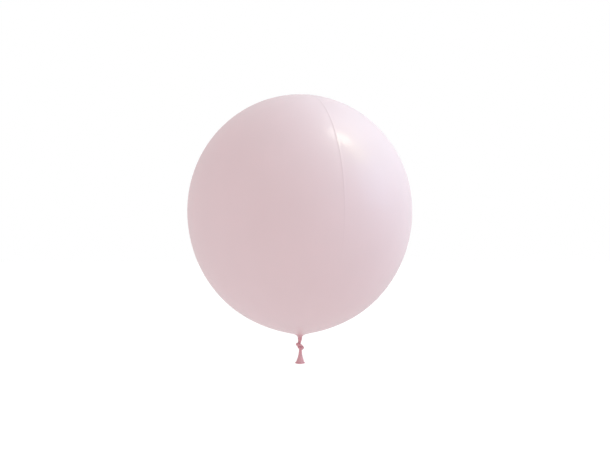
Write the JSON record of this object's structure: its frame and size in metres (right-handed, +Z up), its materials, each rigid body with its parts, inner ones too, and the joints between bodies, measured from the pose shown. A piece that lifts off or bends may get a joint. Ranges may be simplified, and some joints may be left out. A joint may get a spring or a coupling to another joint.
{
  "type": "latex balloon",
  "caption": "Inflated round latex balloon with a creased neck, an overhand knot and a flared tail that ends in a rolled lip.",
  "frame": {"origin": "centre of the neck's waist, between the body and the knot, where fingers or a ribbon hold the balloon", "axes": "+Z up the balloon's axis towards its crown, +X across the flattened tail's mouth, +Y across its thickness"},
  "size_m": [0.457, 0.457, 0.5499],
  "materials": {
    "film": "satin, slightly translucent, pale pink",
    "gathered_film": "satin, pink, less stretched than the film",
    "thick_latex": "matt, unstretched latex, deeper pink"
  },
  "bodies": {
    "neck": {"neck": "gathered_film", "knot": "thick_latex"},
    "shoulder": {"shoulder": "gathered_film"},
    "balloon": {"envelope": "film"},
    "tail": {"tail": "thick_latex", "rolled_lip": "thick_latex"}
  },
  "joints": [
    {"name": "lean_fore_aft", "type": "hinge", "parent": "neck", "child": "shoulder", "pos_m": [0, 0, 0.008], "axis": [1, 0, 0], "range_deg": [-30, 30], "stiffness_Nm_per_rad": 0.06},
    {"name": "lean_sideways", "type": "hinge", "parent": "shoulder", "child": "balloon", "pos_m": [0, 0, 0.008], "axis": [0, 1, 0], "range_deg": [-30, 30], "stiffness_Nm_per_rad": 0.06},
    {"name": "tail_bend", "type": "hinge", "parent": "neck", "child": "tail", "pos_m": [0, 0, -0.0244], "axis": [1, 0, 0], "range_deg": [-45, 45], "stiffness_Nm_per_rad": 0.002}
  ]
}
